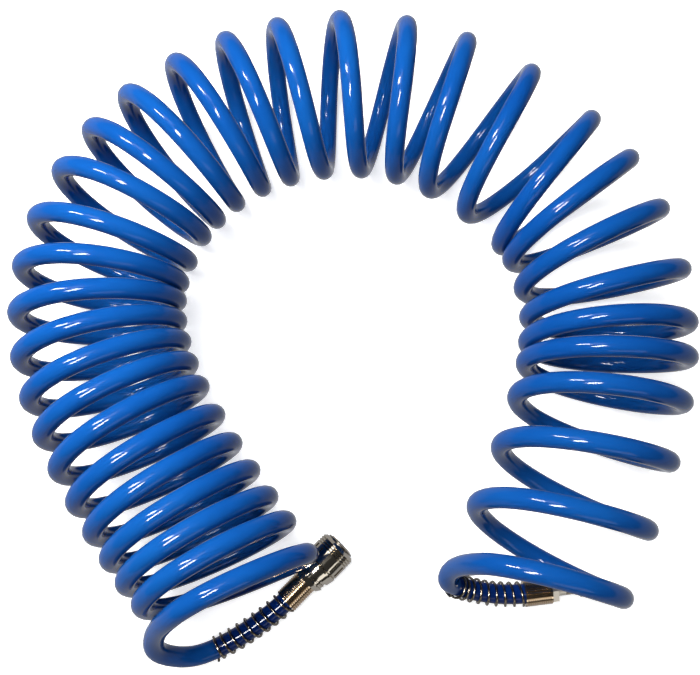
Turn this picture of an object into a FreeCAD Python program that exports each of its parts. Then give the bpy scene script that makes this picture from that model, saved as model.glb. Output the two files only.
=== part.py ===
import FreeCAD, Part
import math
import os

import Sketcher
from FreeCAD import Placement, Rotation, Vector

# Coiled air hose with a quick coupler on one end and a matching plug on the other.
# Millimetres, Z up, the floor at Z = 0, the hose arrangement centred on the origin.
# Each fitting is drawn along its own X axis. Stations are measured forward from a
# datum 20 mm behind the front face of its hose nut, so every station is positive.

SIZES = {
    # hose and coil
    "hose_r": 6.0,
    "hose_bore_r": 4.0,
    "coil_r": 52.0,
    "coil_axis_height": 52.0,
    # hose nut
    "nut_rear": 3.5,
    "nut_taper_rear": 9.0,
    "nut_thread_rear": 12.4,
    "nut_front": 20.0,
    "nut_r": 7.8,
    "nut_hose_r": 6.05,
    "nut_thread_r": 6.85,
    "rib_first": 4.3,
    "rib_floor": 4.75,
    "rib_floor_end": 4.85,
    "rib_first_end": 5.3,
    "rib_floor_r": 7.3,
    "rib_top_r": 7.9,
    "rib_pitch": 1.35,
    "rib_count": 11,
    # barbed shank, shared by the coupler stem and the plug
    "barb_rear": 3.0,
    "barb_tip_r": 3.3,
    "barb_1": 5.5,
    "barb_2": 8.5,
    "barb_3": 11.5,
    "barb_r": 3.98,
    "barb_root_r": 3.4,
    "shank_front": 12.5,
    "thread_r": 6.8,
    # coupler stem
    "stem_bore_r": 2.7,
    "stem_collar_front": 19.2,
    "spigot_r": 5.85,
    "spigot_front": 22.8,
    "washer_r": 5.9,
    # coupler body
    "body_rear": 20.0,
    "body_r": 8.8,
    "body_cone_front": 22.9,
    "body_cone_edge": 23.2,
    "body_cone_r": 10.6,
    "body_neck_rear": 23.5,
    "body_ring_rear": 24.6,
    "body_ring_crest": 24.9,
    "body_ring_crest_end": 25.5,
    "body_ring_front": 25.8,
    "body_ring_r": 10.1,
    "body_neck_r": 9.7,
    "guide_collar_rear": 30.7,
    "guide_collar_front": 32.4,
    "guide_collar_r": 10.2,
    "tube_r": 8.0,
    "ring_slot_rear": 49.4,
    "ring_slot_front": 50.3,
    "ring_slot_r": 7.4,
    "mouth_edge": 50.5,
    "mouth": 51.0,
    "mouth_outer_r": 7.2,
    "mouth_r": 6.9,
    "mouth_cone": 50.1,
    "socket_r": 6.05,
    "socket_floor": 36.0,
    "nose_bore_r": 4.8,
    "seal_groove_front": 35.3,
    "seal_groove_rear": 33.3,
    "seal_groove_r": 6.3,
    "chamber_front": 32.6,
    "chamber_r": 5.9,
    "ball_station": 41.5,
    "ball_hole_r": 1.8,
    "ball_r": 1.75,
    "ball_centre_r": 6.7,
    # sliding sleeve
    "sleeve_rear": 27.2,
    "sleeve_edge": 31.7,
    "sleeve_edge_r": 10.95,
    "sleeve_r": 12.0,
    "sleeve_cone": 47.5,
    "sleeve_front": 49.2,
    "sleeve_front_r": 10.3,
    "sleeve_bore_r": 8.06,
    "sleeve_lip_rear": 47.0,
    "release_r": 9.66,
    "release_rear": 44.91,
    "lock_cone_rear": 39.82,
    "land_rear": 38.4,
    "sleeve_spring_bore_r": 10.26,
    "pad_rear": 34.6,
    "pad_front": 41.9,
    "pad_half": 1.0,
    "pad_floor": 11.1,
    "pad_count": 12,
    "rear_grip": 32.9,
    "rear_grip_floor": 33.35,
    "rear_grip_floor_end": 33.45,
    "rear_grip_end": 33.9,
    "grip_first": 42.8,
    "grip_floor": 43.25,
    "grip_floor_end": 43.35,
    "grip_first_end": 43.8,
    "grip_floor_r": 11.4,
    "grip_top_r": 12.1,
    "grip_pitch": 1.75,
    "grip_count": 3,
    # sleeve spring and retaining ring
    "sleeve_spring_r": 9.1,
    "sleeve_spring_wire_r": 0.4,
    "sleeve_spring_rear": 32.86,
    "sleeve_spring_height": 5.08,
    "sleeve_spring_pitch": 1.95,
    "snap_rear": 49.45,
    "snap_front": 50.25,
    "snap_bore_r": 7.45,
    "snap_r": 9.3,
    "snap_gap_half": 1.5,
    "snap_gap_rear": 49.0,
    "snap_gap_front": 50.8,
    # valve
    "poppet_tail": 21.0,
    "poppet_stem_r": 1.5,
    "poppet_head_rear": 29.6,
    "poppet_head_front": 31.4,
    "poppet_head_r": 5.3,
    "poppet_boss_r": 3.85,
    "poppet_front": 33.9,
    "slot_rear": 32.7,
    "slot_front": 34.5,
    "slot_half": 0.75,
    "valve_seal_bore_r": 3.9,
    "valve_seal_r": 5.2,
    "valve_seal_front": 32.55,
    "valve_spring_r": 3.0,
    "valve_spring_wire_r": 0.35,
    "valve_spring_rear": 24.6,
    "valve_spring_height": 4.6,
    "valve_spring_pitch": 1.5,
    "guide_rear": 22.85,
    "guide_front": 24.2,
    "guide_r": 5.85,
    "guide_bore_r": 1.56,
    "guide_port_r": 0.95,
    "guide_port_at": 4.25,
    "seal_centre": 34.3,
    "seal_ring_r": 5.5,
    "seal_wire_r": 0.75,
    # plug
    "plug_bore_r": 2.6,
    "plug_collar_r": 6.8,
    "hex_rear": 20.3,
    "hex_front": 24.0,
    "hex_length": 3.7,
    "hex_core_r": 6.3,
    "hex_inner_r": 6.0,
    "hex_flat": 6.5,
    "hex_corner": 7.506,
    "hex_half_side": 3.753,
    "neck_flare_r": 4.7,
    "neck_rear": 24.9,
    "neck_r": 3.8,
    "neck_front": 36.3,
    "lock_ring_rear": 38.0,
    "lock_ring_r": 5.95,
    "lock_ring_front": 40.5,
    "nose_rear": 41.6,
    "nose_r": 4.7,
    "nose_edge": 47.0,
    "nose_front": 47.5,
    "nose_front_r": 4.2,
    # spring guards
    "guard_r": 6.95,
    "guard_wire_r": 0.8,
    "guard_turns": 9.0,
    "guard_closed_pitch": 0.6,
}

NUT_FRONT = SIZES["nut_front"]
HOSE_END = SIZES["nut_thread_rear"] - 0.3

# Where each fitting lies: the front face of its nut on the axis, and its heading.
COUPLER_AT = Vector(-28.8, -152.5, 12.1)
COUPLER_HEADING = 45.0
PLUG_AT = Vector(121.5, -158.5, 7.9)
PLUG_HEADING = 7.0

# The coil's axis, from the coupler end round to the plug end.
COIL_PATH = [
    (-59.0, -164.8), (-98.0, -114.5), (-131.5, -63.5), (-155.0, -8.5), (-151.5, 52.5),
    (-111.0, 116.0), (-36.0, 153.5), (62.0, 142.5), (141.0, 75.0), (157.0, -2.0),
    (132.0, -88.0), (96.7, -164.0),
]
# The plain hose between the coil and each fitting, from the coil outwards.
COUPLER_TAIL = [
    (-110.4, -177.3, 54.6), (-114.6, -190.0, 36.0), (-102.0, -196.1, 18.0),
    (-89.4, -195.3, 8.6), (-70.9, -186.4, 7.6), (-54.9, -175.9, 10.0),
    (-42.0, -165.7, 12.1),
]
PLUG_TAIL = [
    (57.9, -142.4, 44.0), (55.1, -151.8, 27.0), (65.2, -156.2, 12.0),
    (84.3, -160.4, 7.4), (102.6, -160.82, 7.9),
]
# How far the coil's solid stays from the axis of each fitting.
COUPLER_CLEARANCE = 12.8
PLUG_CLEARANCE = 8.7

doc = FreeCAD.newDocument("coiled_air_hose")
sheet = doc.addObject("Spreadsheet::Sheet", "dims")
for row, (alias, value) in enumerate(SIZES.items(), start=1):
    sheet.set("A%d" % row, alias)
    sheet.set("B%d" % row, str(value))
    sheet.setAlias("B%d" % row, alias)
doc.recompute()

nodes = []


def heading_placement(at, degrees):
    """Placement whose X axis is the fitting's axis, at the datum behind its nut."""
    turn = Rotation(Vector(0, 0, 1), degrees)
    return Placement(at + turn.multVec(Vector(-NUT_FRONT, 0, 0)), turn)


COUPLER = heading_placement(COUPLER_AT, COUPLER_HEADING)
PLUG = heading_placement(PLUG_AT, PLUG_HEADING)


def size(alias):
    """Value of a named size, with a leading minus sign allowed."""
    if alias.startswith("-"):
        return -SIZES[alias[1:]]
    return SIZES[alias]


def expression(alias):
    """Sheet expression of a named size, with a leading minus sign allowed."""
    if alias.startswith("-"):
        return "-dims." + alias[1:]
    return "dims." + alias


def add_body(name, placement):
    body = doc.addObject("PartDesign::Body", name)
    body.Label = name
    body.Placement = placement
    nodes.append(body)
    return body


def plane_of(body, role):
    for item in body.Origin.OriginFeatures:
        if item.Role == role:
            return item
    raise ValueError("no plane called " + role)


def new_sketch(body, name, role="XY_Plane"):
    sketch = body.newObject("Sketcher::SketchObject", name)
    sketch.AttachmentSupport = [(plane_of(body, role), "")]
    sketch.MapMode = "FlatFace"
    return sketch


def lift_sketch(sketch, alias):
    """Raise a sketch off its plane by a named size."""
    sketch.setExpression("AttachmentOffset.Base.z", expression(alias))


def bound(sketch, kind, line, alias):
    index = sketch.addConstraint(Sketcher.Constraint(kind, -1, 1, line, 1, size(alias)))
    sketch.setExpression("Constraints[%d]" % index, expression(alias))


def draw_outline(sketch, corners):
    """Closed outline of straight lines. A corner is a pair of size names, "axis" being zero."""
    flat = [
        Vector(0 if x == "axis" else size(x), 0 if y == "axis" else size(y), 0)
        for x, y in corners
    ]
    count = len(flat)
    for i in range(count):
        sketch.addGeometry(Part.LineSegment(flat[i], flat[(i + 1) % count]))
    for i in range(count):
        sketch.addConstraint(Sketcher.Constraint("Coincident", i, 2, (i + 1) % count, 1))
    for i, (x, y) in enumerate(corners):
        if x == "axis":
            sketch.addConstraint(Sketcher.Constraint("PointOnObject", i, 1, -2))
        else:
            bound(sketch, "DistanceX", i, x)
        if y == "axis":
            sketch.addConstraint(Sketcher.Constraint("PointOnObject", i, 1, -1))
        else:
            bound(sketch, "DistanceY", i, y)


def draw_circle(sketch, x, y, radius):
    """Circle with its centre and radius bound to named sizes."""
    centre = Vector(0 if x == "axis" else size(x), 0 if y == "axis" else size(y), 0)
    circle = sketch.addGeometry(Part.Circle(centre, Vector(0, 0, 1), size(radius)))
    index = sketch.addConstraint(Sketcher.Constraint("Radius", circle, size(radius)))
    sketch.setExpression("Constraints[%d]" % index, expression(radius))
    for kind, along, alias in (("DistanceX", -2, x), ("DistanceY", -1, y)):
        if alias == "axis":
            sketch.addConstraint(Sketcher.Constraint("PointOnObject", circle, 3, along))
        else:
            spot = sketch.addConstraint(Sketcher.Constraint(kind, -1, 1, circle, 3, size(alias)))
            sketch.setExpression("Constraints[%d]" % spot, expression(alias))


def turned(body, corners):
    """Solid of revolution about the body's X axis."""
    sketch = new_sketch(body, body.Label + "_outline")
    draw_outline(sketch, corners)
    spin = body.newObject("PartDesign::Revolution", body.Label + "_turned")
    spin.Profile = sketch
    spin.ReferenceAxis = (sketch, ["H_Axis"])
    spin.Angle = 360.0
    doc.recompute()
    return spin


def vee_groove(body, name, corners, floor, top):
    """Turned groove with sloping sides. Its four stations run from rear to front."""
    sketch = new_sketch(body, name + "_outline")
    rear, floor_rear, floor_front, front = corners
    draw_outline(sketch, [(rear, top), (floor_rear, floor), (floor_front, floor), (front, top)])
    groove = body.newObject("PartDesign::Groove", name)
    groove.Profile = sketch
    groove.ReferenceAxis = (sketch, ["H_Axis"])
    groove.Angle = 360.0
    doc.recompute()
    return groove, sketch


def ring_grooves(body, corners, floor, top, pitch, count):
    """Row of turned grooves along the outside."""
    groove, sketch = vee_groove(body, body.Label + "_groove", corners, floor, top)
    row = body.newObject("PartDesign::LinearPattern", body.Label + "_grooves")
    row.Originals = [groove]
    row.Direction = (sketch, ["H_Axis"])
    row.setExpression("Length", "dims.%s * (dims.%s - 1)" % (pitch, count))
    row.setExpression("Occurrences", "dims." + count)
    body.Tip = row
    doc.recompute()


def around(body, feature, sketch, count, total=360.0):
    """Copies of a feature round the body's X axis."""
    ring = body.newObject("PartDesign::PolarPattern", feature.Label + "_ring")
    ring.Originals = [feature]
    ring.Axis = (sketch, ["H_Axis"])
    ring.Angle = total
    ring.Occurrences = count
    body.Tip = ring
    doc.recompute()


def through_cut(body, name, sketch):
    """Pocket right through both ways from its sketch, checked by volume."""
    before = body.Shape.Volume
    cut = body.newObject("PartDesign::Pocket", name)
    cut.Profile = sketch
    cut.Type = 1
    cut.Midplane = True
    doc.recompute()
    if not body.Shape.Volume < before:
        raise ValueError(name + " removed nothing")
    return cut


def coil_spring(name, placement, radius, wire, rear, height, pitch):
    """Round-wire helical spring along the fitting's axis."""
    body = add_body(name, placement)
    sketch = new_sketch(body, name + "_wire")
    draw_circle(sketch, rear, radius, wire)
    coil = body.newObject("PartDesign::AdditiveHelix", name + "_coil")
    coil.Profile = sketch
    coil.ReferenceAxis = (sketch, ["H_Axis"])
    coil.Mode = 0
    coil.setExpression("Pitch", "dims." + pitch)
    coil.setExpression("Height", "dims." + height)
    doc.recompute()
    return body


def rounded_path(points):
    """Straight runs joined by tangent arcs, each arc as large as its shorter run allows."""
    corners = [Vector(*p) for p in points]
    edges = []
    radii = []
    here = corners[0]
    for before, corner, after in zip(corners, corners[1:], corners[2:]):
        back = before - corner
        ahead = after - corner
        trim = 0.45 * min(back.Length, ahead.Length)
        half_turn = (math.pi - back.getAngle(ahead)) / 2.0
        radii.append(trim / math.tan(half_turn))
        start = corner + back.normalize() * trim
        finish = corner + ahead.normalize() * trim
        centre = corner + (back + ahead).normalize() * (radii[-1] / math.cos(half_turn))
        middle = centre + (corner - centre).normalize() * radii[-1]
        edges.append(Part.LineSegment(here, start).toShape())
        edges.append(Part.Arc(start, middle, finish).toShape())
        here = finish
    edges.append(Part.LineSegment(here, corners[-1]).toShape())
    return Part.Wire(edges), radii


def swept(path, radius):
    """Round bar along a path."""
    first = path.Edges[0]
    heading = first.tangentAt(first.FirstParameter)
    ring = Part.Wire([Part.makeCircle(radius, path.Vertexes[0].Point, heading)])
    return path.makePipeShell([ring], True, False)


def add_shape(name, shape):
    feature = doc.addObject("Part::Feature", name)
    feature.Label = name
    feature.Shape = shape
    nodes.append(feature)
    return feature


def clear_of(shape, placement, clearance):
    """Trim a shape by a plane alongside a fitting, a set distance to the left of its axis."""
    block = Part.makeBox(200, 80 + clearance, 200, Vector(-120, -80, -50))
    block.Placement = placement
    return shape.cut(block)


def hose_tail(name, points, placement):
    """Hollow plain hose from the coil to the barb."""
    end = placement.multVec(Vector(HOSE_END, 0, 0))
    path, radii = rounded_path(points + [tuple(end)])
    outer = swept(path, SIZES["hose_r"])
    bore = swept(path, SIZES["hose_bore_r"])
    tube = outer.cut(bore)
    ideal = math.pi * (SIZES["hose_r"] ** 2 - SIZES["hose_bore_r"] ** 2) * path.Length
    print(name, "length", round(path.Length, 1), "volume ratio", round(tube.Volume / ideal, 4))
    print(name, "bend radii", [round(r, 1) for r in radii])
    add_shape(name, tube)
    return path


def spring_guard(name, path, length):
    """Open wire coil round the last stretch of plain hose, its far turn nearly closed."""
    steps = 12
    turns = SIZES["guard_turns"]
    closed = SIZES["guard_closed_pitch"]
    count = int(turns * steps)
    pitch = length / (turns - 1 + closed)
    samples = path.discretize(Number=2001)
    spacing = path.Length / 2000.0
    nut_gap = (HOSE_END - SIZES["nut_rear"]) + SIZES["guard_wire_r"] + 0.05
    last = path.Length - nut_gap
    points = []
    for i in range(count + 1):
        turned_by = (count - i) / steps
        along = last - pitch * min(turned_by, turns - 1)
        along -= closed * pitch * max(turned_by - turns + 1, 0)
        k = min(max(int(round(along / spacing)), 1), 1999)
        tangent = (samples[k + 1] - samples[k - 1]).normalize()
        offset = along - k * spacing
        centre = samples[k] + tangent * offset
        level = tangent.cross(Vector(0, 0, 1)).normalize()
        upward = level.cross(tangent).normalize()
        turn = 2.0 * math.pi * turned_by
        points.append(centre + (level * math.cos(turn) + upward * math.sin(turn)) * SIZES["guard_r"])
    curve = Part.BSplineCurve()
    curve.interpolate(points)
    wire = Part.Wire([curve.toShape()])
    heading = curve.tangent(curve.FirstParameter)[0]
    ring = Part.Wire([Part.makeCircle(SIZES["guard_wire_r"], points[0], heading)])
    add_shape(name, wire.makePipeShell([ring], True, True))


def hose_nut(name, placement):
    body = add_body(name, placement)
    turned(body, [
        ("nut_rear", "nut_hose_r"), ("nut_taper_rear", "nut_hose_r"),
        ("nut_thread_rear", "nut_thread_r"), ("nut_front", "nut_thread_r"),
        ("nut_front", "nut_r"), ("nut_rear", "nut_r"),
    ])
    ring_grooves(body, ["rib_first", "rib_floor", "rib_floor_end", "rib_first_end"],
                 "rib_floor_r", "rib_top_r", "rib_pitch", "rib_count")
    return body


BARBS = [
    ("barb_rear", "barb_tip_r"), ("barb_1", "barb_r"), ("barb_1", "barb_root_r"),
    ("barb_2", "barb_r"), ("barb_2", "barb_root_r"), ("barb_3", "barb_r"),
    ("barb_3", "barb_root_r"), ("shank_front", "barb_root_r"),
]

# Coil: one tube of the coil's outer diameter, trimmed clear of the two fittings.
axis_points = [(x, y, SIZES["coil_axis_height"]) for x, y in COIL_PATH]
coil_path, coil_radii = rounded_path(axis_points)
coil = swept(coil_path, SIZES["coil_r"])
coil_ratio = coil.Volume / (math.pi * SIZES["coil_r"] ** 2 * coil_path.Length)
print("hose_coil length", round(coil_path.Length, 1), "volume ratio", round(coil_ratio, 4))
print("hose_coil bend radii", [round(r, 1) for r in coil_radii])
coil = clear_of(coil, COUPLER, COUPLER_CLEARANCE)
coil = clear_of(coil, PLUG, PLUG_CLEARANCE)
add_shape("hose_coil", coil)

# Plain hose tails and their spring guards.
coupler_path = hose_tail("hose_tail_coupler", COUPLER_TAIL, COUPLER)
plug_path = hose_tail("hose_tail_plug", PLUG_TAIL, PLUG)
spring_guard("coupler_spring_guard", coupler_path, 51.2)
spring_guard("plug_spring_guard", plug_path, 46.0)

# Hose nuts.
hose_nut("coupler_hose_nut", COUPLER)
hose_nut("plug_hose_nut", PLUG)

# Barbed stem screwed into the back of the coupler body, with its sealing washer.
stem = add_body("coupler_barb_stem", COUPLER)
turned(stem, BARBS + [
    ("shank_front", "thread_r"), ("stem_collar_front", "thread_r"),
    ("stem_collar_front", "spigot_r"), ("spigot_front", "spigot_r"),
    ("spigot_front", "stem_bore_r"), ("barb_rear", "stem_bore_r"),
])

washer = add_body("stem_washer", COUPLER)
turned(washer, [
    ("stem_collar_front", "washer_r"), ("nut_front", "washer_r"),
    ("nut_front", "thread_r"), ("stem_collar_front", "thread_r"),
])

# Coupler body with its socket, seal groove, valve chamber and ball holes.
coupler_body = add_body("coupler_body", COUPLER)
turned(coupler_body, [
    ("body_rear", "chamber_r"), ("body_rear", "body_r"),
    ("body_cone_front", "body_cone_r"), ("body_cone_edge", "body_cone_r"),
    ("body_neck_rear", "body_neck_r"), ("body_ring_rear", "body_neck_r"),
    ("body_ring_crest", "body_ring_r"), ("body_ring_crest_end", "body_ring_r"),
    ("body_ring_front", "body_neck_r"), ("guide_collar_rear", "body_neck_r"),
    ("guide_collar_rear", "guide_collar_r"), ("guide_collar_front", "guide_collar_r"),
    ("guide_collar_front", "tube_r"), ("ring_slot_rear", "tube_r"),
    ("ring_slot_rear", "ring_slot_r"), ("ring_slot_front", "ring_slot_r"),
    ("ring_slot_front", "tube_r"), ("mouth_edge", "tube_r"), ("mouth", "mouth_outer_r"),
    ("mouth", "mouth_r"), ("mouth_cone", "socket_r"), ("socket_floor", "socket_r"),
    ("socket_floor", "nose_bore_r"), ("seal_groove_front", "nose_bore_r"),
    ("seal_groove_front", "seal_groove_r"), ("seal_groove_rear", "seal_groove_r"),
    ("seal_groove_rear", "nose_bore_r"), ("chamber_front", "nose_bore_r"),
    ("chamber_front", "chamber_r"),
])
holes = new_sketch(coupler_body, "ball_hole_outline")
draw_circle(holes, "ball_station", "axis", "ball_hole_r")
hole = through_cut(coupler_body, "ball_holes", holes)
around(coupler_body, hole, holes, 2, 90.0)

# Sliding sleeve with rectangular grip pads between turned grooves.
sleeve = add_body("coupler_sleeve", COUPLER)
turned(sleeve, [
    ("sleeve_rear", "sleeve_spring_bore_r"), ("sleeve_rear", "sleeve_edge_r"),
    ("sleeve_edge", "sleeve_r"), ("sleeve_cone", "sleeve_r"),
    ("sleeve_front", "sleeve_front_r"), ("sleeve_front", "sleeve_bore_r"),
    ("sleeve_lip_rear", "sleeve_bore_r"), ("sleeve_lip_rear", "release_r"),
    ("release_rear", "release_r"), ("lock_cone_rear", "sleeve_bore_r"),
    ("land_rear", "sleeve_bore_r"), ("land_rear", "sleeve_spring_bore_r"),
])
ring_grooves(sleeve, ["grip_first", "grip_floor", "grip_floor_end", "grip_first_end"],
             "grip_floor_r", "grip_top_r", "grip_pitch", "grip_count")
vee_groove(sleeve, "sleeve_rear_groove",
           ["rear_grip", "rear_grip_floor", "rear_grip_floor_end", "rear_grip_end"],
           "grip_floor_r", "grip_top_r")
pads = new_sketch(sleeve, "pad_outline")
draw_outline(pads, [
    ("pad_rear", "-pad_half"), ("pad_front", "-pad_half"),
    ("pad_front", "pad_half"), ("pad_rear", "pad_half"),
])
lift_sketch(pads, "pad_floor")
before_pads = sleeve.Shape.Volume
pad_cut = sleeve.newObject("PartDesign::Pocket", "pad_cut")
pad_cut.Profile = pads
pad_cut.Reversed = True
pad_cut.Length = 3.0
doc.recompute()
if not sleeve.Shape.Volume < before_pads:
    raise ValueError("the sleeve pocket removed nothing")
around(sleeve, pad_cut, sleeve.Group[0], int(SIZES["pad_count"]))

# Spring that pushes the sleeve forward against its retaining ring.
coil_spring("sleeve_spring", COUPLER, "sleeve_spring_r", "sleeve_spring_wire_r",
            "sleeve_spring_rear", "sleeve_spring_height", "sleeve_spring_pitch")

snap = add_body("sleeve_snap_ring", COUPLER)
snap_turn = turned(snap, [
    ("snap_rear", "snap_bore_r"), ("snap_front", "snap_bore_r"),
    ("snap_front", "snap_r"), ("snap_rear", "snap_r"),
])
gap = new_sketch(snap, "snap_gap")
draw_outline(gap, [
    ("snap_gap_rear", "-snap_gap_half"), ("snap_gap_front", "-snap_gap_half"),
    ("snap_gap_front", "snap_gap_half"), ("snap_gap_rear", "snap_gap_half"),
])
gap_cut = snap.newObject("PartDesign::Pocket", "snap_gap_cut")
gap_cut.Profile = gap
gap_cut.Type = 1
doc.recompute()

# Four locking balls, one in each radial hole.
for number, (y, z) in enumerate([(0, 1), (1, 0), (0, -1), (-1, 0)], start=1):
    ball = doc.addObject("Part::Sphere", "locking_ball_%d" % number)
    ball.Label = "locking_ball_%d" % number
    ball.setExpression("Radius", "dims.ball_r")
    reach = SIZES["ball_centre_r"]
    seat = Placement(Vector(SIZES["ball_station"], y * reach, z * reach), Rotation())
    ball.Placement = COUPLER.multiply(seat)
    nodes.append(ball)

# Shut-off valve: poppet with its slotted nose, face seal, return spring and guide.
poppet = add_body("valve_poppet", COUPLER)
turned(poppet, [
    ("poppet_tail", "axis"), ("poppet_tail", "poppet_stem_r"),
    ("poppet_head_rear", "poppet_stem_r"), ("poppet_head_rear", "poppet_head_r"),
    ("poppet_head_front", "poppet_head_r"), ("poppet_head_front", "poppet_boss_r"),
    ("poppet_front", "poppet_boss_r"), ("poppet_front", "axis"),
])
slots = new_sketch(poppet, "poppet_slot")
draw_outline(slots, [
    ("slot_rear", "-slot_half"), ("slot_front", "-slot_half"),
    ("slot_front", "slot_half"), ("slot_rear", "slot_half"),
])
slot = through_cut(poppet, "poppet_slot_cut", slots)
around(poppet, slot, slots, 2, 90.0)

seal = add_body("valve_seal", COUPLER)
turned(seal, [
    ("poppet_head_front", "valve_seal_bore_r"), ("valve_seal_front", "valve_seal_bore_r"),
    ("valve_seal_front", "valve_seal_r"), ("poppet_head_front", "valve_seal_r"),
])

coil_spring("valve_spring", COUPLER, "valve_spring_r", "valve_spring_wire_r",
            "valve_spring_rear", "valve_spring_height", "valve_spring_pitch")

guide = add_body("valve_guide", COUPLER)
turned(guide, [
    ("guide_rear", "guide_bore_r"), ("guide_rear", "guide_r"),
    ("guide_front", "guide_r"), ("guide_front", "guide_bore_r"),
])
port = new_sketch(guide, "guide_port", "YZ_Plane")
draw_circle(port, "axis", "guide_port_at", "guide_port_r")
port_cut = guide.newObject("PartDesign::Pocket", "guide_port_cut")
port_cut.Profile = port
port_cut.Type = 1
port_cut.Reversed = True
doc.recompute()
around(guide, port_cut, guide.Group[0], 3)

ring = doc.addObject("Part::Torus", "socket_seal_ring")
ring.Label = "socket_seal_ring"
ring.setExpression("Radius1", "dims.seal_ring_r")
ring.setExpression("Radius2", "dims.seal_wire_r")
ring_seat = Placement(Vector(SIZES["seal_centre"], 0, 0), Rotation(Vector(0, 1, 0), 90))
ring.Placement = COUPLER.multiply(ring_seat)
nodes.append(ring)

# Plug: barbed shank, hexagon, long neck and locking nose, bored right through.
plug = add_body("plug_body", PLUG)
turned(plug, BARBS + [
    ("shank_front", "plug_collar_r"), ("nut_front", "plug_collar_r"),
    ("nut_front", "hex_core_r"), ("hex_front", "hex_core_r"),
    ("hex_front", "neck_flare_r"), ("neck_rear", "neck_r"), ("neck_front", "neck_r"),
    ("lock_ring_rear", "lock_ring_r"), ("lock_ring_front", "lock_ring_r"),
    ("nose_rear", "nose_r"), ("nose_edge", "nose_r"), ("nose_front", "nose_front_r"),
    ("nose_front", "plug_bore_r"), ("barb_rear", "plug_bore_r"),
])
hexagon = new_sketch(plug, "hexagon", "YZ_Plane")
draw_outline(hexagon, [
    ("axis", "hex_corner"), ("-hex_flat", "hex_half_side"), ("-hex_flat", "-hex_half_side"),
    ("axis", "-hex_corner"), ("hex_flat", "-hex_half_side"), ("hex_flat", "hex_half_side"),
])
draw_circle(hexagon, "axis", "axis", "hex_inner_r")
lift_sketch(hexagon, "hex_rear")
hex_pad = plug.newObject("PartDesign::Pad", "hexagon_pad")
hex_pad.Profile = hexagon
hex_pad.setExpression("Length", "dims.hex_length")
plug.Tip = hex_pad
doc.recompute()

for item in doc.Objects:
    if "Invalid" in item.State or "Error" in item.State:
        raise ValueError("%s is in error: %s" % (item.Label, item.State))

os.makedirs("parts", exist_ok=True)
for node in nodes:
    shape = node.Shape
    if shape.isNull() or not shape.isValid() or not shape.Solids:
        raise ValueError(node.Label + " is not a valid solid")
    shape.exportStep("parts/%s.step" % node.Label)
    print(node.Label, len(shape.Solids), "solid", round(shape.Volume, 1), "mm3")
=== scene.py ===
import math

import bpy
from mathutils import Matrix, Vector


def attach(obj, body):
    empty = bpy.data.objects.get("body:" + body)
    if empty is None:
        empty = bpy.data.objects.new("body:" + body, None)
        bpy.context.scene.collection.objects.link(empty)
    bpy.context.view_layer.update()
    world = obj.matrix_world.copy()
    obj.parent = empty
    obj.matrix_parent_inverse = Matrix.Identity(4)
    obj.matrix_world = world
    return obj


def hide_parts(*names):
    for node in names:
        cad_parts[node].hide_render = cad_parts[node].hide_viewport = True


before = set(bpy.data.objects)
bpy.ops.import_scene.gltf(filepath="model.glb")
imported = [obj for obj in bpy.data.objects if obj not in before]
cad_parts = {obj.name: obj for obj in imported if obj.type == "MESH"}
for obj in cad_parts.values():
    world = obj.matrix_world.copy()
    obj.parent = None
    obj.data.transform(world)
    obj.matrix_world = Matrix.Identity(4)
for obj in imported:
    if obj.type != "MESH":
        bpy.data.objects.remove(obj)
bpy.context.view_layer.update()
scene = bpy.context.scene

# ---------------------------------------------------------------- sizes, in metres
HOSE_R = 0.006
COIL_R = 0.0461
TURNS = 33
FIRST_TURN = 0.14
LAST_TURN = 32.40
STEPS = 16
# A quadratic spline through points on a circle runs a little inside them.
SWELL = 1 / 0.981
# COIL_AXIS starts this part of a turn before turn 0.
AXIS_LEAD = 0.25
# Share of the axis before and after a point that its direction is taken over.
DIRECTION_SHARE = 0.002
# The first turn lifts a little where it passes over the coupler's neck.
NECK_TURN = 0.61
NECK_SPREAD = 0.09
NECK_LIFT = 0.0068

NUT_FRONT = 0.020
NUT_REAR = 0.0035
HOSE_END = 0.0121
COUPLER_AT = Vector((-0.0288, -0.1525, 0.0121))
COUPLER_HEADING = math.radians(45)
PLUG_AT = Vector((0.1215, -0.1585, 0.0079))
PLUG_HEADING = math.radians(7)

GUARD_R = 0.00695
GUARD_WIRE_R = 0.0008
GUARD_TURNS = 9
GUARD_CLOSED_PITCH = 0.6
GUARD_STEPS = 12
# A quadratic spline with this many points a turn runs at this share of their radius.
GUARD_SHRINK = 0.967
COUPLER_GUARD_LENGTH = 0.0512
PLUG_GUARD_LENGTH = 0.0460
# Samples of the hose's line that a guard needs, and how many either side give its direction.
GUARD_SAMPLES = 400
DIRECTION_SAMPLES = 3

# Smoothness of the curves: pieces between two control points, and round the section.
HOSE_PIECES = 5
HOSE_ROUNDNESS = 6
WIRE_PIECES = 4
WIRE_ROUNDNESS = 3
AXIS_PIECES = 12
SETTING_PIECES = 24
GUARD_LINE_PIECES = 12

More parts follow.
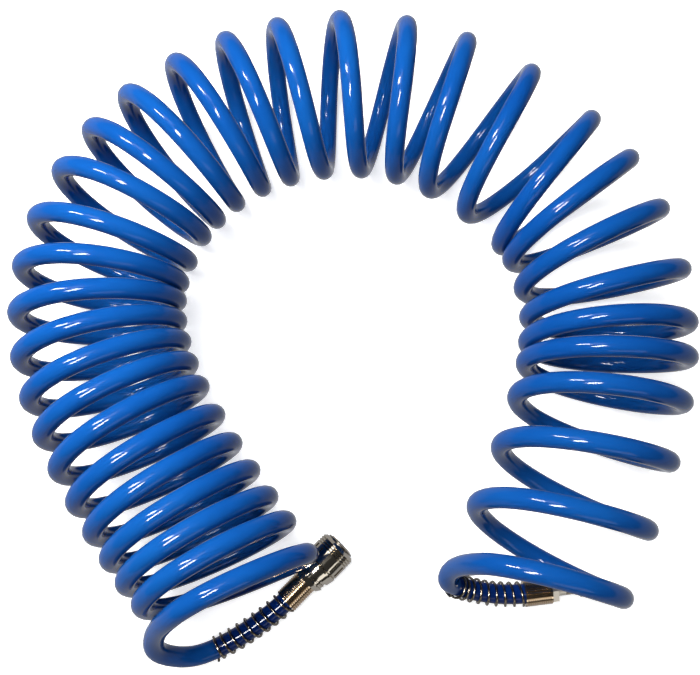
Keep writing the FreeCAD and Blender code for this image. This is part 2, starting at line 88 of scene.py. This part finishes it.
# The coil's axis seen from above, one point a turn, from the coupler round to the plug.
# These points and TURN_SET weren't chosen by hand. Another program fitted them to the
# photograph, and they were rounded and shifted together. Five points near the left and
# upper right were then eased, by up to 1.2 mm, to keep turns out of each other.
COIL_AXIS = [
    (-0.0568, -0.1680), (-0.0647, -0.1566), (-0.0770, -0.1409), (-0.0871, -0.1280),
    (-0.0971, -0.1143), (-0.1082, -0.0986), (-0.1187, -0.0825), (-0.1303, -0.0634),
    (-0.1392, -0.0465), (-0.1464, -0.0291), (-0.1520, -0.0095), (-0.1543, 0.0102),
    (-0.1536, 0.0317), (-0.1485, 0.0516), (-0.1369, 0.0783), (-0.1250, 0.0958),
    (-0.1087, 0.1134), (-0.0851, 0.1301), (-0.0613, 0.1408), (-0.0354, 0.1481),
    (-0.0015, 0.1519), (0.0320, 0.1476), (0.0599, 0.1379), (0.0934, 0.1183),
    (0.1231, 0.0887), (0.1364, 0.0722), (0.1475, 0.0467), (0.1543, 0.0143),
    (0.1528, -0.0059), (0.1514, -0.0238), (0.1463, -0.0445), (0.1353, -0.0788),
    (0.1202, -0.1129), (0.1017, -0.1531), (0.1028, -0.1538),
]
# How far each turn is turned about the vertical, in degrees, and how far its top leans.
TURN_SET = [(16.3, 0.208), (-2.8, -0.053), (2.7, -0.046), (-4.1, 0.050), (-2.6, -0.090)]

# Plain hose from the coil to each fitting. These began as points from the same fit,
# and most were then moved.
COUPLER_TAIL = [
    (-0.1104, -0.1773, 0.0546), (-0.1146, -0.1900, 0.0360), (-0.1020, -0.1961, 0.0180),
    (-0.0894, -0.1953, 0.0086), (-0.0709, -0.1864, 0.0078), (-0.0549, -0.1759, 0.0100),
    (-0.0420, -0.1657, 0.0121),
]
PLUG_TAIL = [
    (0.0579, -0.1424, 0.0440), (0.0551, -0.1518, 0.0270), (0.0652, -0.1562, 0.0120),
    (0.0843, -0.1604, 0.0080), (0.1026, -0.16082, 0.0079),
]

# ---------------------------------------------------------------- looks
HOSE_DEEP = (0.0016, 0.043, 0.225)
HOSE_LIGHT = (0.0055, 0.084, 0.315)
# Colour of the painted shade on the hose inside the guards.
HOSE_PAINTED_SHADE = (0.0016, 0.018, 0.125)
HOSE_IOR = 1.3
# A noise is its scale and detail, a bump its strength and distance.
HOSE_TINT = (14.0, 2.0)
HOSE_GRAIN = (60.0, 3.0)
HOSE_WAVES = (90.0, 2.0)
HOSE_ROUGHNESS = (0.05, 0.10)
HOSE_BUMP = (0.02, 0.0005)
# Painted shade: the hose is darker within the first distance of a guard's middle, and below
# the first height, where the guard's wires shade it.
COUPLER_SHADE = (0.0235, 0.0295)
PLUG_SHADE = (0.0225, 0.0270)
SHADE_HEIGHT = (0.022, 0.026)
# Part of a guard's wire, from the nut, that its middle is taken over.
MIDDLE_SHARE = 0.88

METAL_GRAIN = (400.0, 4.0)
METAL_BUMP = (0.08, 0.0002)
PLUG_DARK = (0.36, 0.31, 0.25)
# Paler colour of the hexagon, a painted highlight; its higher roughness is the satin finish.
HEXAGON_PAINTED_HIGHLIGHT = (0.62, 0.57, 0.49)
PLUG_ROUGHNESS = (0.12, 0.38)
HEXAGON_MIDDLE = 0.02215
HEXAGON_REACH = (0.0075, 0.0080)
RUBBER_COLOUR = (0.02, 0.02, 0.02)
RUBBER_GRAIN = (900.0, 3.0)
RUBBER_ROUGHNESS = (0.5, 0.7)

FLOOR_SIZE = 8.0
FLOOR_COLOUR = (0.95, 0.95, 0.95)
FLOOR_ROUGHNESS = 0.8
FLOOR_GLOW = 0.66
UNDER_FLOOR_TINT = (0.93, 0.95, 1.0)
MIRRORED_HEIGHT = -0.001
MIRRORED_GLOW = 0.52
BOUNCE_HEIGHT = -0.002
BOUNCE_GLOW = 0.42

# Name, place, width, height, power, and whether it shows in reflections or lights matt
# surfaces. Two boxes give the paired glints, two cards fill the metal's near side and give
# soft streaks, a key lights from the upper left and an overhead fills in.
LIGHTS = [
    ("glint_left", (-1.19, 0.39, 1.6), 0.27, 0.62, 40, True),
    ("glint_right", (-0.50, -0.45, 1.6), 0.27, 0.62, 40, True),
    ("near_card", (0.45, -1.35, 0.70), 1.0, 0.5, 2.6, True),
    ("streak_card", (-0.48, 0.32, 1.6), 0.5, 0.5, 2.6, True),
    ("key", (-0.29, 0.15, 0.60), 0.40, 0.40, 7.6, False),
    ("overhead", (-0.12, -0.06, 0.97), 0.55, 0.55, 5.5, False),
]
LIGHT_TARGET = Vector((0, 0, 0.03))
WORLD_COLOUR = (0.94, 0.95, 0.96)
# World strength for the object, and for what the camera sees behind the floor.
WORLD_STRENGTH = (0.05, 0.80)

# The camera's angle and distance come from the same fit as COIL_AXIS.
ELEVATION = math.radians(77.382)
DISTANCE = 0.5511
TARGET = Vector((0.001, 0.004, 0.0))
SENSOR_WIDTH = 36.0
LENS = 42.42
SHIFT = (-0.0063, -0.0023)
CLIP = (0.01, 50)


# ---------------------------------------------------------------- curves
def new_curve(name, points):
    """Smooth quadratic NURBS curve through the given control points."""
    data = bpy.data.curves.new(name, "CURVE")
    data.dimensions = "3D"
    spline = data.splines.new("NURBS")
    spline.points.add(len(points) - 1)
    for spot, point in zip(spline.points, points):
        spot.co = (point[0], point[1], point[2], 1.0)
    spline.order_u = 3
    spline.use_endpoint_u = True
    obj = bpy.data.objects.new(name, data)
    scene.collection.objects.link(obj)
    return obj


def make_round(curve, pieces, radius, roundness):
    """Give a curve a round section and closed ends."""
    curve.data.splines[0].resolution_u = pieces
    curve.data.bevel_depth = radius
    curve.data.bevel_resolution = roundness
    curve.data.use_fill_caps = True


def evaluated(points, pieces):
    """Points along the smooth curve that the control points make."""
    guide = new_curve("guide", points)
    guide.data.splines[0].resolution_u = pieces
    bpy.context.view_layer.update()
    mesh = bpy.data.meshes.new_from_object(guide)
    found = [vertex.co.copy() for vertex in mesh.vertices]
    bpy.data.meshes.remove(mesh)
    bpy.data.objects.remove(guide)
    return found


def along(samples, share):
    """Point a given share of the way along evenly spaced samples."""
    place = min(max(share, 0.0), 1.0) * (len(samples) - 1)
    low = min(int(place), len(samples) - 2)
    return samples[low].lerp(samples[low + 1], place - low)


axis_line = evaluated([(x, y, 0.0) for x, y in COIL_AXIS], AXIS_PIECES)
turn_set = evaluated([(yaw, lean, 0.0) for yaw, lean in TURN_SET], SETTING_PIECES)


def coil_point(turn):
    """Control point of the helix a number of turns from the coupler end."""
    share = (turn + AXIS_LEAD) / TURNS
    centre = along(axis_line, share)
    before = along(axis_line, share - DIRECTION_SHARE)
    after = along(axis_line, share + DIRECTION_SHARE)
    ahead = (after - before).normalized()
    outward = Vector((-ahead.y, ahead.x, 0.0))
    setting = along(turn_set, share)
    yaw = math.radians(setting.x)
    lean = math.atan(setting.y)
    across = outward * math.cos(yaw) + ahead * math.sin(yaw)
    upward = ahead * math.sin(lean) + Vector((0.0, 0.0, math.cos(lean)))
    angle = 2 * math.pi * turn
    reach = COIL_R * SWELL
    lift = NECK_LIFT * math.exp(-((turn - NECK_TURN) / NECK_SPREAD) ** 2)
    middle = centre + Vector((0.0, 0.0, HOSE_R + COIL_R * math.cos(lean) + lift))
    return middle + across * (reach * math.cos(angle)) + upward * (reach * math.sin(angle))


def fitting_matrix(at, heading):
    """Matrix whose X axis is the fitting's axis, at the datum behind its nut."""
    turn = Matrix.Rotation(heading, 4, "Z")
    return Matrix.Translation(at) @ turn @ Matrix.Translation((-NUT_FRONT, 0, 0))


COUPLER = fitting_matrix(COUPLER_AT, COUPLER_HEADING)
PLUG = fitting_matrix(PLUG_AT, PLUG_HEADING)

coupler_end = COUPLER @ Vector((HOSE_END, 0, 0))
plug_end = PLUG @ Vector((HOSE_END, 0, 0))
count = int(round((LAST_TURN - FIRST_TURN) * STEPS)) + 1

route = [coupler_end] + [Vector(p) for p in reversed(COUPLER_TAIL)]
route += [coil_point(FIRST_TURN + i / STEPS) for i in range(count)]
route += [Vector(p) for p in PLUG_TAIL] + [plug_end]

hose = new_curve("air_hose", route)
make_round(hose, HOSE_PIECES, HOSE_R, HOSE_ROUNDNESS)

line = evaluated(route, HOSE_PIECES)


def guard(name, samples, length):
    """Open wire coil round the hose, its far turn nearly closed. Samples start at the nut."""
    walked = [0.0]
    for a, b in zip(samples, samples[1:]):
        walked.append(walked[-1] + (b - a).length)
    start = HOSE_END - NUT_REAR + GUARD_WIRE_R
    pitch = length / (GUARD_TURNS - 1 + GUARD_CLOSED_PITCH)
    reach = GUARD_R / GUARD_SHRINK
    points = []
    index = 0
    for i in range(GUARD_TURNS * GUARD_STEPS + 1):
        turned = i / GUARD_STEPS
        at = start + pitch * min(turned, GUARD_TURNS - 1)
        at += GUARD_CLOSED_PITCH * pitch * max(turned - GUARD_TURNS + 1, 0)
        while walked[index + 1] < at:
            index += 1
        share = (at - walked[index]) / (walked[index + 1] - walked[index])
        centre = samples[index].lerp(samples[index + 1], share)
        ahead = samples[index + 1 + DIRECTION_SAMPLES]
        behind = samples[max(index - DIRECTION_SAMPLES, 0)]
        tangent = (ahead - behind).normalized()
        level = tangent.cross(Vector((0, 0, 1))).normalized()
        upward = level.cross(tangent)
        angle = math.pi - 2 * math.pi * turned
        sideways = level * (reach * math.cos(angle))
        above = upward * (reach * math.sin(angle))
        points.append(centre + sideways + above)
    wire = new_curve(name, points)
    make_round(wire, WIRE_PIECES, GUARD_WIRE_R, WIRE_ROUNDNESS)
    return wire


fine = evaluated(route, GUARD_LINE_PIECES)
coupler_guard = guard("coupler_guard_wire", fine[:GUARD_SAMPLES], COUPLER_GUARD_LENGTH)
plug_guard = guard("plug_guard_wire", fine[::-1][:GUARD_SAMPLES], PLUG_GUARD_LENGTH)


# ---------------------------------------------------------------- materials
def new_material(name):
    """New material with its node tree and its shader."""
    material = bpy.data.materials.new(name)
    material.use_nodes = True
    return material, material.node_tree, material.node_tree.nodes["Principled BSDF"]


def noise(tree, scale, detail):
    """Noise texture fixed to the object's own space."""
    coords = tree.nodes.new("ShaderNodeTexCoord")
    texture = tree.nodes.new("ShaderNodeTexNoise")
    texture.inputs["Scale"].default_value = scale
    texture.inputs["Detail"].default_value = detail
    tree.links.new(coords.outputs["Object"], texture.inputs["Vector"])
    return texture


def spread(tree, value, low, high):
    """Map a value from 0 to 1 to a range."""
    span = tree.nodes.new("ShaderNodeMapRange")
    span.inputs["To Min"].default_value = low
    span.inputs["To Max"].default_value = high
    tree.links.new(value, span.inputs["Value"])
    return span.outputs["Result"]


def fade(tree, value, full, gone):
    """Node that gives 1 up to the first value, falling to 0 at the second."""
    span = tree.nodes.new("ShaderNodeMapRange")
    span.inputs["From Min"].default_value = full
    span.inputs["From Max"].default_value = gone
    span.inputs["To Min"].default_value = 1.0
    span.inputs["To Max"].default_value = 0.0
    tree.links.new(value, span.inputs["Value"])
    return span


def bumped(tree, shader, texture, strength, distance):
    """Raise a shader's surface by a texture."""
    bump = tree.nodes.new("ShaderNodeBump")
    bump.inputs["Strength"].default_value = strength
    bump.inputs["Distance"].default_value = distance
    tree.links.new(texture.outputs["Fac"], bump.inputs["Height"])
    tree.links.new(bump.outputs["Normal"], shader.inputs["Normal"])


def near(tree, coords, centre, inner, outer):
    """1 within the inner distance of a point, falling to 0 at the outer one."""
    gap = tree.nodes.new("ShaderNodeVectorMath")
    gap.operation = "DISTANCE"
    gap.inputs[1].default_value = centre
    tree.links.new(coords, gap.inputs[0])
    falling = fade(tree, gap.outputs["Value"], inner, outer)
    falling.interpolation_type = "SMOOTHSTEP"
    return falling.outputs["Result"]


def math_node(tree, operation, first, second):
    """Result of a calculation on two values."""
    node = tree.nodes.new("ShaderNodeMath")
    node.operation = operation
    tree.links.new(first, node.inputs[0])
    tree.links.new(second, node.inputs[1])
    return node.outputs["Value"]


def colour_mix(tree, share, first, second):
    """Mix of two colours, each given as a tuple or as another node's output."""
    mix = tree.nodes.new("ShaderNodeMix")
    mix.data_type = "RGBA"
    tree.links.new(share, mix.inputs["Factor"])
    for socket, colour in (("A", first), ("B", second)):
        place = [item for item in mix.inputs if item.name == socket and item.type == "RGBA"][0]
        if isinstance(colour, tuple):
            place.default_value = (*colour, 1)
        else:
            tree.links.new(colour, place)
    return [item for item in mix.outputs if item.type == "RGBA"][0]


def wire_middle(wire):
    """Middle of a guard's wire, a little nearer its nut."""
    spots = [Vector(point.co[:3]) for point in wire.data.splines[0].points]
    spots = spots[:int(MIDDLE_SHARE * len(spots))]
    return sum(spots, Vector()) / len(spots)


def hose_material():
    """Glossy blue hose, a little uneven in colour, with painted shade inside the two guards.
    """
    material, tree, shader = new_material("blue_hose")
    shader.inputs["IOR"].default_value = HOSE_IOR
    coords = tree.nodes.new("ShaderNodeTexCoord").outputs["Object"]
    tint = noise(tree, *HOSE_TINT)
    colour = colour_mix(tree, tint.outputs["Fac"], HOSE_DEEP, HOSE_LIGHT)
    by_coupler = near(tree, coords, wire_middle(coupler_guard), *COUPLER_SHADE)
    by_plug = near(tree, coords, wire_middle(plug_guard), *PLUG_SHADE)
    painted_shade = math_node(tree, "MAXIMUM", by_coupler, by_plug)
    split = tree.nodes.new("ShaderNodeSeparateXYZ")
    tree.links.new(coords, split.inputs["Vector"])
    low = fade(tree, split.outputs["Z"], *SHADE_HEIGHT)
    painted_shade = math_node(tree, "MULTIPLY", painted_shade, low.outputs["Result"])
    # Painted shade: inside the guards and low down, the hose takes the darker colour.
    colour = colour_mix(tree, painted_shade, colour, HOSE_PAINTED_SHADE)
    tree.links.new(colour, shader.inputs["Base Color"])
    grain = noise(tree, *HOSE_GRAIN)
    roughness = spread(tree, grain.outputs["Fac"], *HOSE_ROUGHNESS)
    tree.links.new(roughness, shader.inputs["Roughness"])
    bumped(tree, shader, noise(tree, *HOSE_WAVES), *HOSE_BUMP)
    return material


def metal_material(name, colour, low, high):
    """Metal of one colour, finely uneven, with roughness between two values."""
    material, tree, shader = new_material(name)
    shader.inputs["Base Color"].default_value = (*colour, 1)
    shader.inputs["Metallic"].default_value = 1.0
    grain = noise(tree, *METAL_GRAIN)
    tree.links.new(spread(tree, grain.outputs["Fac"], low, high), shader.inputs["Roughness"])
    bumped(tree, shader, grain, *METAL_BUMP)
    return material


def plug_material():
    """Dark plate on the neck and nose; satin on the hexagon, painted paler as a painted
    highlight.
    """
    material, tree, shader = new_material("plug_plate")
    shader.inputs["Metallic"].default_value = 1.0
    coords = tree.nodes.new("ShaderNodeTexCoord").outputs["Object"]
    on_hexagon = near(tree, coords, PLUG @ Vector((HEXAGON_MIDDLE, 0, 0)), *HEXAGON_REACH)
    # Painted highlight: the hexagon is painted paler than the neck and nose.
    colour = colour_mix(tree, on_hexagon, PLUG_DARK, HEXAGON_PAINTED_HIGHLIGHT)
    tree.links.new(colour, shader.inputs["Base Color"])
    grain = noise(tree, *METAL_GRAIN)
    tree.links.new(spread(tree, on_hexagon, *PLUG_ROUGHNESS), shader.inputs["Roughness"])
    bumped(tree, shader, grain, *METAL_BUMP)
    return material


def rubber_material():
    """Dull black rubber."""
    material, tree, shader = new_material("black_seal")
    shader.inputs["Base Color"].default_value = (*RUBBER_COLOUR, 1)
    grain = noise(tree, *RUBBER_GRAIN)
    roughness = spread(tree, grain.outputs["Fac"], *RUBBER_ROUGHNESS)
    tree.links.new(roughness, shader.inputs["Roughness"])
    return material


BLUE = hose_material()
NICKEL = metal_material("nickel_plate", (0.52, 0.47, 0.39), 0.05, 0.12)
NUT_PLATE = metal_material("warm_nut_plate", (0.54, 0.42, 0.29), 0.07, 0.14)
PLUG_PLATE = plug_material()
BRASS = metal_material("brass_core", (0.62, 0.46, 0.26), 0.18, 0.30)
STEEL = metal_material("spring_steel", (0.24, 0.21, 0.17), 0.14, 0.26)
BALL = metal_material("ball_steel", (0.66, 0.66, 0.67), 0.06, 0.12)
COPPER = metal_material("copper_washer", (0.70, 0.38, 0.24), 0.25, 0.4)
RUBBER = rubber_material()

hose.data.materials.append(BLUE)
for wire in (coupler_guard, plug_guard):
    wire.data.materials.append(STEEL)

NODE_LOOKS = {
    "coupler_hose_nut": NUT_PLATE, "plug_hose_nut": NUT_PLATE, "coupler_barb_stem": BRASS,
    "stem_washer": COPPER, "coupler_body": NICKEL, "coupler_sleeve": NICKEL,
    "sleeve_spring": STEEL, "sleeve_snap_ring": STEEL, "locking_ball_1": BALL,
    "locking_ball_2": BALL, "locking_ball_3": BALL, "locking_ball_4": BALL,
    "valve_poppet": BRASS, "valve_seal": RUBBER, "valve_spring": STEEL,
    "valve_guide": BRASS, "socket_seal_ring": RUBBER, "plug_body": PLUG_PLATE,
}
for node, material in NODE_LOOKS.items():
    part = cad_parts[node]
    part.data.materials.clear()
    part.data.materials.append(material)

# ---------------------------------------------------------------- what stands for what
BODY = "hose_and_fittings"
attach(hose, BODY)
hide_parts("hose_coil", "hose_tail_coupler", "hose_tail_plug")
for wire, node in ((coupler_guard, "coupler_spring_guard"), (plug_guard, "plug_spring_guard")):
    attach(wire, BODY)
    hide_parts(node)


# ---------------------------------------------------------------- floor, light and camera
def wide_plane(name, height, base, glow, strength):
    """Wide level plane with some light of its own, and its shader."""
    bpy.ops.mesh.primitive_plane_add(size=FLOOR_SIZE, location=(0, 0, height))
    plane = bpy.context.object
    plane.name = name
    material, _, shader = new_material(name)
    shader.inputs["Base Color"].default_value = (*base, 1)
    shader.inputs["Emission Color"].default_value = (*glow, 1)
    shader.inputs["Emission Strength"].default_value = strength
    plane.data.materials.append(material)
    return plane, shader


def under_floor(name, height, strength):
    """Unseen plane that stands for the floor in reflections or in bounced light."""
    plane, _ = wide_plane(name, height, (0, 0, 0), UNDER_FLOOR_TINT, strength)
    plane.visible_camera = False
    plane.visible_shadow = False
    return plane


# The light that comes up from the floor is dimmer than the white that the camera sees,
# so the floor itself shows in neither reflections nor bounced light.
floor, floor_shader = wide_plane("floor", 0, FLOOR_COLOUR, (1, 1, 1), FLOOR_GLOW)
floor_shader.inputs["Roughness"].default_value = FLOOR_ROUGHNESS
floor.visible_glossy = False
floor.visible_diffuse = False
under_floor("floor_mirrored", MIRRORED_HEIGHT, MIRRORED_GLOW).visible_diffuse = False
under_floor("floor_bounce", BOUNCE_HEIGHT, BOUNCE_GLOW).visible_glossy = False


def softbox(name, location, width, height, power):
    """Rectangular soft light aimed at the middle of the object."""
    light = bpy.data.lights.new(name, "AREA")
    light.shape = "RECTANGLE"
    light.size = width
    light.size_y = height
    light.energy = power
    lamp = bpy.data.objects.new(name, light)
    lamp.location = location
    lamp.rotation_mode = "QUATERNION"
    lamp.rotation_quaternion = (LIGHT_TARGET - lamp.location).to_track_quat("-Z", "Y")
    scene.collection.objects.link(lamp)
    return lamp


for name, place, width, height, power, mirrored in LIGHTS:
    lamp = softbox(name, place, width, height, power)
    lamp.visible_glossy = mirrored
    lamp.visible_diffuse = not mirrored

world = bpy.data.worlds.new("studio")
world.use_nodes = True
world_tree = world.node_tree
backdrop = world_tree.nodes["Background"]
backdrop.inputs["Color"].default_value = (*WORLD_COLOUR, 1)
rays = world_tree.nodes.new("ShaderNodeLightPath")
brightness = spread(world_tree, rays.outputs["Is Camera Ray"], *WORLD_STRENGTH)
world_tree.links.new(brightness, backdrop.inputs["Strength"])
scene.world = world
scene.view_settings.view_transform = "Standard"

camera_data = bpy.data.cameras.new("camera")
camera = bpy.data.objects.new("camera", camera_data)
camera.location = TARGET + Vector((0, -math.cos(ELEVATION), math.sin(ELEVATION))) * DISTANCE
camera.rotation_euler = (math.pi / 2 - ELEVATION, 0, 0)
camera_data.sensor_width = SENSOR_WIDTH
camera_data.lens = LENS
camera_data.shift_x, camera_data.shift_y = SHIFT
camera_data.clip_start, camera_data.clip_end = CLIP
scene.collection.objects.link(camera)
scene.camera = camera
